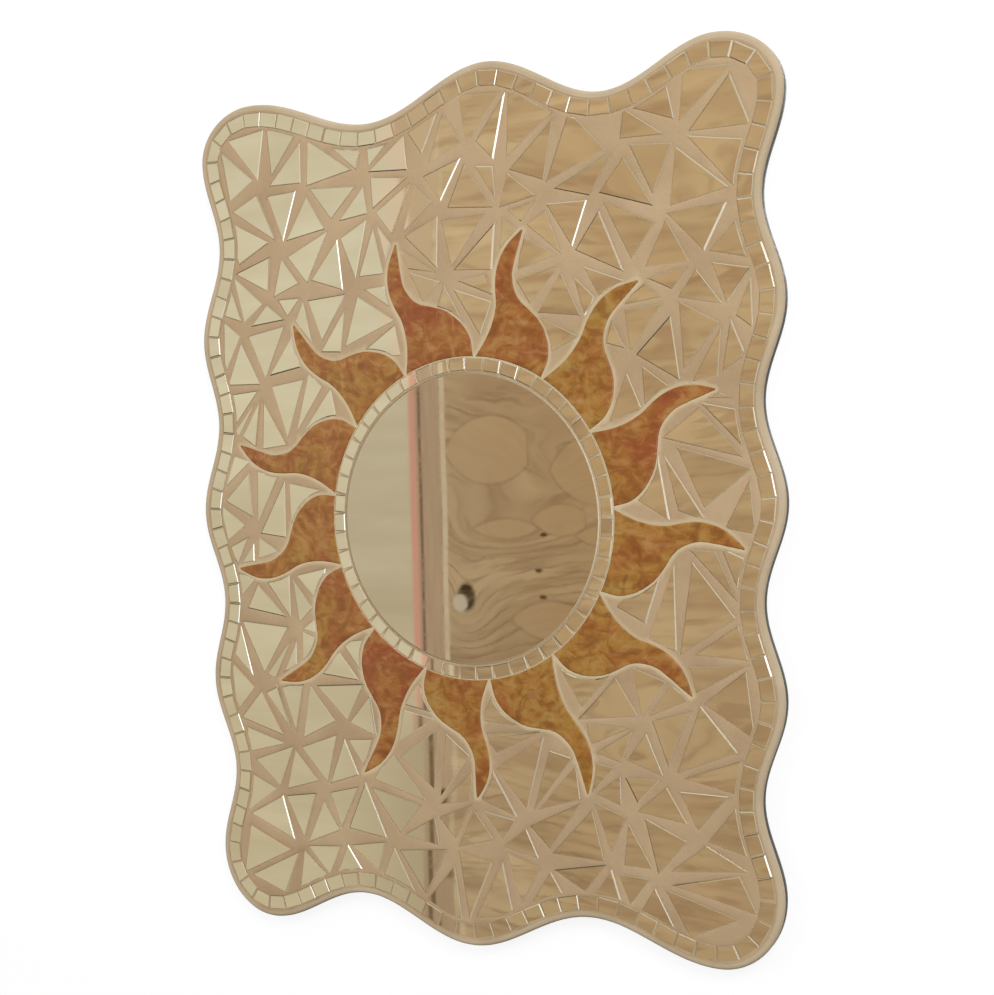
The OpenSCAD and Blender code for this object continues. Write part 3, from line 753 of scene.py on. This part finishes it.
def make_ring(side, name):
    """The D-shaped wire ring, swept along its closed path."""
    low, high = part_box("hanger_ring_" + name)
    half = (high[0] - low[0]) * 500 - WIRE_R
    arm = (HANGER_Z - low[2] * 1000) - half - WIRE_R
    bend = 1.9
    quarter = [math.pi / 2 * i / 6 for i in range(7)]
    path = [(half * math.cos(a), -arm + half * math.sin(a)) for a in (-math.pi * i / 36 for i in range(37))]
    path += [(-half + bend - bend * math.cos(a), -bend + bend * math.sin(a)) for a in quarter]
    path += [(x, 0.0) for x in (-half * 0.4, 0.0, half * 0.4)]
    path += [(half - bend + bend * math.sin(a), -bend + bend * math.cos(a)) for a in quarter]
    build = Build()
    n, around = len(path), 20
    for i, (x, z) in enumerate(path):
        (ax, az), (bx, bz) = path[i - 1], path[(i + 1) % n]
        run = math.hypot(bx - ax, bz - az)
        nx, nz = (bz - az) / run, -(bx - ax) / run
        for j in range(around):
            a = 2 * math.pi * j / around
            off = WIRE_R * math.cos(a)
            build.verts.append(((side * HANGER_X + x + nx * off) / 1000,
                                -(PIVOT + WIRE_R * math.sin(a)) / 1000,
                                (HANGER_Z + z + nz * off) / 1000))
    for i in range(n):
        for j in range(around):
            k, m = (i + 1) % n, (j + 1) % around
            build.face((i * around + j, i * around + m, k * around + m, k * around + j))
    build.piece("ring_" + name + "_wire", (BRASS,), "ring_" + name, ("hanger_ring_" + name,),
                "hanger_steel", 60)


def dome(build, centre, profile, steps=40, cap=True):
    """A turned shape around the Y direction, from its wall side to its board side."""
    rings = [build.ring(circle(r, steps, centre), d) for r, d in profile]
    for a, b in zip(rings, rings[1:]):
        build.wall(a, b)
    if cap:
        build.face(reversed(rings[0]))
    build.face(rings[-1])
    return rings[0]


def make_screws(side, name):
    node = "hanger_screws_" + name
    low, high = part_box(node)
    top, tip = depths(node)
    head_r = (high[0] - low[0]) * 500
    flat_r = head_r * 0.72
    head_h, shank_r, pit_depth, dish = 1.8, 1.5, 1.3, 0.18
    x = side * HANGER_X
    build = Build()
    for z in (high[2] * 1000 - head_r, low[2] * 1000 + head_r):
        turn = 0.4 if z > HANGER_Z - 27 else -0.7
        arm, wing = head_r * 0.56, 0.42
        cross = [(arm, -wing), (arm, wing), (wing, wing), (wing, arm), (-wing, arm), (-wing, wing),
                 (-arm, wing), (-arm, -wing), (-wing, -wing), (-wing, -arm), (wing, -arm), (wing, -wing)]
        c, s = math.cos(turn), math.sin(turn)
        cross = [(x + a * c - b * s, z + a * s + b * c) for a, b in cross]
        profile = [(flat_r, top + dish), (head_r * 0.9, top + 0.55), (head_r, top + 1.1),
                   (head_r, top + head_h), (shank_r, top + head_h), (shank_r, tip - 1.2), (0.3, tip)]
        crown = dome(build, (x, z), profile, 40, False)
        circle_points = [(build.verts[i][0] * 1000, build.verts[i][2] * 1000) for i in crown]
        points, faces = filled(circle_points, [cross[::-1]], [])

        def head_depth(px, pz):
            return top + dish * (math.dist((px, pz), (x, z)) / flat_r) ** 2

        cap = build.ring(points, head_depth)
        for f in faces:
            build.face([cap[i] for i in reversed(f)])
        lip = build.ring(cross, head_depth)
        pit = build.ring([(x + (a - x) * 0.6, z + (b - z) * 0.6) for a, b in cross], top + pit_depth)
        build.wall(pit, lip)
        build.face(reversed(pit))
    build.piece("screws_" + name, (STEEL,), "panel", (node,), "screw_steel", 35)


def make_pad(name):
    node = "wall_pad_" + name
    low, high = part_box(node)
    r = (high[0] - low[0]) * 500
    centre = ((low[0] + high[0]) * 500, (low[2] + high[2]) * 500)
    back, front = depths(node)
    build = Build()
    profile = [(0.55, back + 0.7), (0.62, back + 0.1), (0.66, back), (0.84, back), (0.9, back + 0.12),
               (0.955, back + 0.5), (0.965, back + 1.0), (0.985, back + 3.0), (1, front - 0.5), (1, front)]
    dome(build, centre, [(r * share, depth) for share, depth in profile], 56)
    build.piece("pad_" + name, (RUBBER,), "panel", (node,), "pad_rubber", 28)


# Stage: wall, floor and a plain room that only reflections see, its cards glowing with painted light and
# shade
def plane(name, corners, look):
    mesh = bpy.data.meshes.new(name)
    mesh.from_pydata(corners, [], [(0, 1, 2, 3)])
    mesh.materials.append(look)
    made = bpy.data.objects.new(name, mesh)
    bpy.context.scene.collection.objects.link(made)
    return made


WINDOW_LOW, WINDOW_HIGH = 0.06, 1.14
FLOOR_Z = -1.4


def seen_directly(t):
    path = t.add("ShaderNodeLightPath").outputs
    camera_or_glossy = t.math("MAXIMUM", path["Is Camera Ray"], path["Is Glossy Ray"])
    return t.math("MAXIMUM", camera_or_glossy, path["Is Transmission Ray"])


def white_surface(name, one_sided):
    """A surface that shows as white and still takes the object's shadow."""
    made, t = material(name)
    strength = t.math("MULTIPLY", seen_directly(t), 0.88)
    glow = t.add("ShaderNodeEmission", {"Color": (1, 1, 1), "Strength": strength})
    matt = t.add("ShaderNodeBsdfDiffuse", {"Color": (0.16, 0.16, 0.16)})
    both = t.add("ShaderNodeAddShader")
    t.tree.links.new(glow.outputs[0], both.inputs[0])
    t.tree.links.new(matt.outputs[0], both.inputs[1])
    shader = both.outputs[0]
    if one_sided:
        pick = t.add("ShaderNodeMixShader", {0: t.add("ShaderNodeNewGeometry").outputs["Backfacing"]})
        t.tree.links.new(shader, pick.inputs[1])
        t.tree.links.new(t.add("ShaderNodeBsdfTransparent").outputs[0], pick.inputs[2])
        shader = pick.outputs[0]
    t.finish(shader)
    return made


def glow_material(name, colour):
    made, t = material(name)
    where = t.place()
    soft = t.noise(where, 1.3, 3.0)
    streak = t.noise(t.place((0.8, 0.8, 5.0)), 2.4, 4.0, 0.6, 0.6)
    dim = tuple(c * 0.9 for c in colour)
    tint = t.mix(t.fit(t.math("MULTIPLY", t.math("ADD", soft, streak), 0.5), 0.38, 0.62), dim, colour)
    t.finish(t.add("ShaderNodeEmission", {"Color": tint, "Strength": 1.0}).outputs[0])
    return made


def side_material():
    """The room on the left: in shade beside the wall and lighter further into the room."""
    made, t = material("room_left")
    axes = t.axes()
    uneven = t.noise(t.place((1, 1.5, 2.5)), 3.0, 4.0, 0.6)
    share = t.math("ADD", t.fit(axes["Y"], -0.25, -0.9), t.fit(uneven, 0.3, 0.7, -0.15, 0.15), True)
    look = t.mix(share, (0.17, 0.14, 0.10), (0.50, 0.40, 0.26))
    t.finish(t.add("ShaderNodeEmission", {"Color": look, "Strength": 1.0}).outputs[0])
    return made


def level_material(name, dark, light):
    """A ceiling or floor that is dark on the left and takes the window's light on the right."""
    made, t = material(name)
    axes = t.axes()
    uneven = t.noise(t.place((0.6, 3.0, 1.0)), 3.0, 3.0)
    share = t.math("ADD", t.fit(axes["X"], -1.25, -0.7), t.fit(uneven, 0.3, 0.7, -0.08, 0.08), True)
    t.finish(t.add("ShaderNodeEmission", {"Color": t.mix(share, dark, light), "Strength": 1.0}).outputs[0])
    return made


def window_material():
    """A window of three lights with plain bars, brighter towards the top."""
    made, t = material("window_light")
    axes = t.axes()
    bars = t.math("PINGPONG", t.math("SUBTRACT", axes["X"], WINDOW_LOW), (WINDOW_HIGH - WINDOW_LOW) / 6)
    cloud = t.noise(t.place(), 2.0, 3.0)
    sky = t.mix(t.fit(cloud, 0.35, 0.65), (0.86, 0.92, 1.0), (1.0, 0.98, 0.93))
    look = t.mix(t.fit(bars, 0.012, 0.02), (0.10, 0.09, 0.07), sky)
    strength = t.fit(axes["Z"], -0.8, 0.9, 1.5, 2.6)
    t.finish(t.add("ShaderNodeEmission", {"Color": look, "Strength": strength}).outputs[0])
    return made


def plywood_material():
    """Cream boards on the left, a painted post with a batten, and plywood to the right of it."""
    made, t = material("reflected_room")
    axes = t.axes()
    x, z = axes["X"], axes["Z"]

    def near(cx, cz, rx, rz):
        dx = t.math("DIVIDE", t.math("SUBTRACT", x, cx), rx)
        dz = t.math("DIVIDE", t.math("SUBTRACT", z, cz), rz)
        return t.math("SQRT", t.math("ADD", t.math("MULTIPLY", dx, dx), t.math("MULTIPLY", dz, dz)))

    def between(low, high, soft=0.004):
        return t.math("MULTIPLY", t.fit(x, low - soft, low + soft), t.fit(x, high + soft, high - soft))

    def leaf(cx, cz, a, b, cut=9.0):
        """Below 1 inside a leaf-shaped patch, pointed at both ends, or cut straight on its right."""
        radius = (a * a + b * b) / (2 * b)
        shift = radius - b
        both = t.math("MAXIMUM", near(cx, cz + shift, radius, radius), near(cx, cz - shift, radius, radius))
        along = t.math("DIVIDE", t.math("SUBTRACT", x, cx), radius)
        return t.math("MAXIMUM", both, t.math("ADD", along, 1 - cut / radius))

    def swell(ring, size):
        return t.math("MULTIPLY", t.math("POWER", math.e, t.math("MULTIPLY", ring, -1.0)), size)

    warp = t.noise(t.place((0.5, 1.0, 1.6), (3.1, 0, 1.7)), 2.6, 3.0, 0.5, 0.4)
    wobble = t.noise(t.place((1.0, 1.0, 1.4)), 11.0, 3.0, 0.5)
    rings = [near(-1.16, -0.29, 0.10, 0.13), near(-1.02, -0.11, 0.16, 0.06), near(-0.90, 0.05, 0.16, 0.09),
             near(-0.60, 0.62, 0.22, 0.08), near(-0.72, -0.62, 0.22, 0.07)]
    lift = swell(rings[0], 0.26)
    for ring in rings[1:]:
        lift = t.math("ADD", lift, swell(ring, 0.20))
    height = t.math("ADD", t.math("ADD", z, t.math("MULTIPLY", warp, 0.20)), lift)
    along = t.add("ShaderNodeCombineXYZ", {"X": t.math("MULTIPLY", x, 0.16), "Z": height}).outputs[0]
    coarse = t.noise(along, 15.0, 3.0, 0.55)
    fine = t.noise(along, 60.0, 4.0, 0.6)
    streak = t.noise(along, 34.0, 2.0, 0.5)
    wood = t.mix(t.fit(coarse, 0.36, 0.64), (0.440, 0.290, 0.162), (0.570, 0.408, 0.236))
    wood = t.mix(t.fit(streak, 0.56, 0.62, 0.0, 0.45), wood, (0.350, 0.212, 0.115))
    wood = t.mix(t.fit(fine, 0.44, 0.28, 0.0, 0.35), wood, (0.300, 0.180, 0.095))
    level = t.math("PINGPONG", t.math("ADD", height, t.math("MULTIPLY", wobble, 0.05)), 0.021)
    clear = t.fit(t.noise(t.place((0.8, 1, 1.2), (5, 0, 2)), 6.0, 2.0), 0.40, 0.56, 0.0, 0.55)
    clear = t.math("MULTIPLY", clear, t.fit(x, -0.95, -0.70, 1.0, 0.35))
    clear = t.math("MULTIPLY", clear, t.fit(z, 0.26, 0.42, 1.0, 0.4))
    wood = t.mix(t.math("MULTIPLY", t.fit(level, 0.0052, 0.0022), clear), wood, (0.290, 0.170, 0.090))
    pale = t.mix(t.fit(fine, 0.3, 0.7), (0.490, 0.330, 0.182), (0.535, 0.366, 0.205))
    for patch in (leaf(-1.088, 0.083, 0.124, 0.080, 0.100), leaf(-0.803, 0.033, 0.128, 0.082),
                  leaf(-1.050, -0.103, 0.090, 0.024), leaf(-0.903, -0.083, 0.078, 0.036, 0.06),
                  leaf(-0.795, -0.119, 0.072, 0.024), leaf(-0.932, -0.317, 0.108, 0.046),
                  leaf(-0.62, 0.46, 0.13, 0.035), leaf(-0.75, -0.42, 0.12, 0.035),
                  leaf(-1.05, 0.52, 0.12, 0.03)):
        wood = t.mix(t.fit(patch, 1.05, 1.01, 0.0, 0.40), wood, (0.330, 0.200, 0.110))
        wood = t.mix(t.fit(patch, 1.00, 0.975), wood, pale)
    wood = t.mix(t.fit(near(-1.160, -0.266, 0.022, 0.030), 1.3, 0.9), wood, (0.075, 0.042, 0.020))
    wood = t.mix(t.fit(near(-1.177, -0.280, 0.019, 0.020), 1.15, 0.95), wood, (0.620, 0.510, 0.370))
    for cx, cz in ((-0.949, -0.117), (-0.954, -0.262), (-0.964, -0.200)):
        wood = t.mix(t.fit(near(cx, cz, 0.009, 0.005), 1.4, 0.7), wood, (0.12, 0.07, 0.03))
    # The wood is made darker and warmer towards the right.
    right_side_darkening = t.mix(t.fit(x, -1.15, -0.88), (1.0, 1.0, 1.0), (0.95, 0.90, 0.84))
    wood = t.mix(1.0, wood, right_side_darkening, "MULTIPLY")
    lit = t.mix(t.fit(z, -0.7, 0.5), (0.86, 0.85, 0.83), (1.05, 1.03, 1.00))
    wood = t.mix(1.0, wood, lit, "MULTIPLY")
    boards = t.fit(t.noise(t.place((0.5, 1, 3.0)), 3.0, 4.0, 0.6), 0.35, 0.7)
    cream = t.mix(boards, (0.600, 0.500, 0.335), (0.700, 0.600, 0.425))
    # Painted shade: the cream boards darker towards the bottom.
    cream = t.mix(1.0, cream, t.mix(t.fit(z, -1.0, 0.4), (0.84, 0.80, 0.74), (1.0, 1.0, 1.0)), "MULTIPLY")
    paint = t.fit(t.noise(t.place((16, 1, 1.2)), 5.0, 3.0), 0.35, 0.65)
    post = t.mix(paint, (0.455, 0.305, 0.188), (0.505, 0.348, 0.218))
    # Painted shade: the post darker towards the bottom.
    post = t.mix(1.0, post, t.mix(t.fit(z, -0.9, -0.3), (0.78, 0.77, 0.74), (1.0, 1.0, 1.0)), "MULTIPLY")
    post = t.mix(t.fit(z, 0.28, 0.45), post, (0.540, 0.375, 0.220))
    shade = t.math("MULTIPLY", t.fit(z, -0.45, -0.65), t.fit(x, -1.56, -1.34))
    cream = t.mix(shade, cream, (0.445, 0.345, 0.215))
    # Painted light: a band of pink light on the cream boards beside the post.
    pink_light_band = t.math("MULTIPLY", t.fit(z, 0.22, 0.34), between(-1.350, -1.318, 0.03))
    cream = t.mix(t.math("MULTIPLY", pink_light_band, 0.8), cream, (0.760, 0.500, 0.345))
    look = t.mix(t.fit(x, -1.308, -1.300), cream, post)
    look = t.mix(t.fit(x, -1.228, -1.224), look, wood)
    red = t.math("MULTIPLY", t.fit(z, -0.60, -0.42), t.fit(z, 0.50, 0.30, 0.25, 1.0))
    look = t.mix(t.math("MULTIPLY", between(-1.312, -1.294), red), look, (0.690, 0.340, 0.235))
    gap = t.math("MULTIPLY", between(-1.286, -1.278, 0.003), t.fit(z, 0.42, 0.28))
    look = t.mix(gap, look, (0.230, 0.125, 0.085))
    # Painted shadow: a dark line low down beside the post.
    low_post_shadow = t.math("MULTIPLY", t.fit(z, -0.48, -0.62), between(-1.290, -1.278, 0.003))
    look = t.mix(low_post_shadow, look, (0.175, 0.110, 0.060))
    for cx, cz, dark in ((-1.251, -0.762, (0.085, 0.050, 0.022)), (-1.235, -0.955, (0.230, 0.150, 0.080))):
        look = t.mix(t.fit(near(cx, cz, 0.016, 0.012), 1.4, 0.6), look, dark)
    batten = t.math("MULTIPLY", t.fit(z, -0.62, -0.48, 0.3, 1.0), t.fit(z, 0.42, 0.28, 0.3, 1.0))
    look = t.mix(t.math("MULTIPLY", between(-1.223, -1.209, 0.0015), batten), look, (0.640, 0.500, 0.330))
    look = t.mix(t.fit(x, 0.42, 0.46), look, cream)
    t.finish(t.add("ShaderNodeEmission", {"Color": look, "Strength": 1.12}).outputs[0])
    return made


def make_stage():
    wall = plane("white_wall", [(-3, 0.0006, -2.5), (3, 0.0006, -2.5), (3, 0.0006, 2.5), (-3, 0.0006, 2.5)],
                 white_surface("wall_white", True))
    wall.visible_diffuse = False
    wall.visible_glossy = False
    wall.visible_shadow = False
    plane("pale_floor", [(-6, -6, FLOOR_Z), (6, -6, FLOOR_Z), (6, 6, FLOOR_Z), (-6, 6, FLOOR_Z)],
          white_surface("floor_white", False))
    left, right, back, front, low, high = -2.6, 2.6, -2.0, -0.03, -1.35, 1.5
    pane = back + 0.01
    cards = {
        "room_back": ([(left, back, low), (right, back, low), (right, back, high), (left, back, high)],
                      plywood_material()),
        "room_left": ([(left, front, low), (left, back, low), (left, back, high), (left, front, high)],
                      side_material()),
        "room_right": ([(right, back, low), (right, front, low), (right, front, high), (right, back, high)],
                       glow_material("room_cream", (0.80, 0.74, 0.60))),
        "room_ceiling": ([(left, back, high), (right, back, high), (right, front, high), (left, front, high)],
                         level_material("room_ceiling", (0.085, 0.085, 0.070), (0.78, 0.72, 0.58))),
        "room_floor": ([(left, back, low), (right, back, low), (right, front, low), (left, front, low)],
                       level_material("room_floor", (0.075, 0.068, 0.052), (0.56, 0.47, 0.34))),
        "room_window": ([(WINDOW_LOW, pane, -0.75), (WINDOW_HIGH, pane, -0.75),
                         (WINDOW_HIGH, pane, 0.85), (WINDOW_LOW, pane, 0.85)], window_material()),
    }
    for name, (corners, look) in cards.items():
        card = plane(name, corners, look)
        card.visible_camera = False
        card.visible_diffuse = False
        card.visible_shadow = False


def lamp(name, place, aim, size, power, glossy):
    data = bpy.data.lights.new(name, "AREA")
    data.shape = "DISK"
    data.size = size
    data.energy = power
    made = bpy.data.objects.new(name, data)
    made.location = place
    made.rotation_mode = "QUATERNION"
    made.rotation_quaternion = (Vector(aim) - Vector(place)).to_track_quat("-Z", "Y")
    made.visible_glossy = glossy
    bpy.context.scene.collection.objects.link(made)


def make_lights():
    lamp("key_light", (1.6, -2.1, 1.5), (0, 0, 0), 1.2, 48, False)
    lamp("fill_light", (-1.9, -2.0, 0.6), (0, 0, 0), 1.6, 14, False)
    lamp("back_light", (0.9, 2.4, 1.3), (0, 0, 0), 1.6, 42, True)
    world = bpy.data.worlds.new("white_world")
    bpy.context.scene.world = world
    t = Tree(world)
    strength = t.math("ADD", t.math("MULTIPLY", seen_directly(t), 0.45), 0.55)
    t.finish(t.add("ShaderNodeBackground", {"Color": (1, 1, 1), "Strength": strength}).outputs[0],
             "ShaderNodeOutputWorld")
    bpy.context.scene.view_settings.view_transform = "Standard"


make_camera()
make_lights()
make_stage()

make_board()
make_grout()
make_rim()
make_centre_mirror()
make_tiles("ring_tiles", "ring_tile_set", 5, (0.3, 0.45), (24, 40), 0.004)
for i, side in enumerate(SIDES):
    make_tiles("edge_tiles_" + side, "border_tiles_" + side, 20 + i, (0.3, 0.5), (24, 40), 0.005)
for i, number in enumerate(RAYS):
    make_tiles("shards_" + number, "mirror_shards_" + number, 40 + i, (0.4, 0.65), (26, 46), 0.003)
    make_ray(number, RAY_TONES[i])
for side, name in ((-1, "left"), (1, "right")):
    make_strap(side, name)
    make_ring(side, name)
    make_screws(side, name)
for name in ("top_left", "top_right", "bottom_left", "bottom_right"):
    make_pad(name)
NODES["adhesive_bed"].data.materials[0] = ADHESIVE
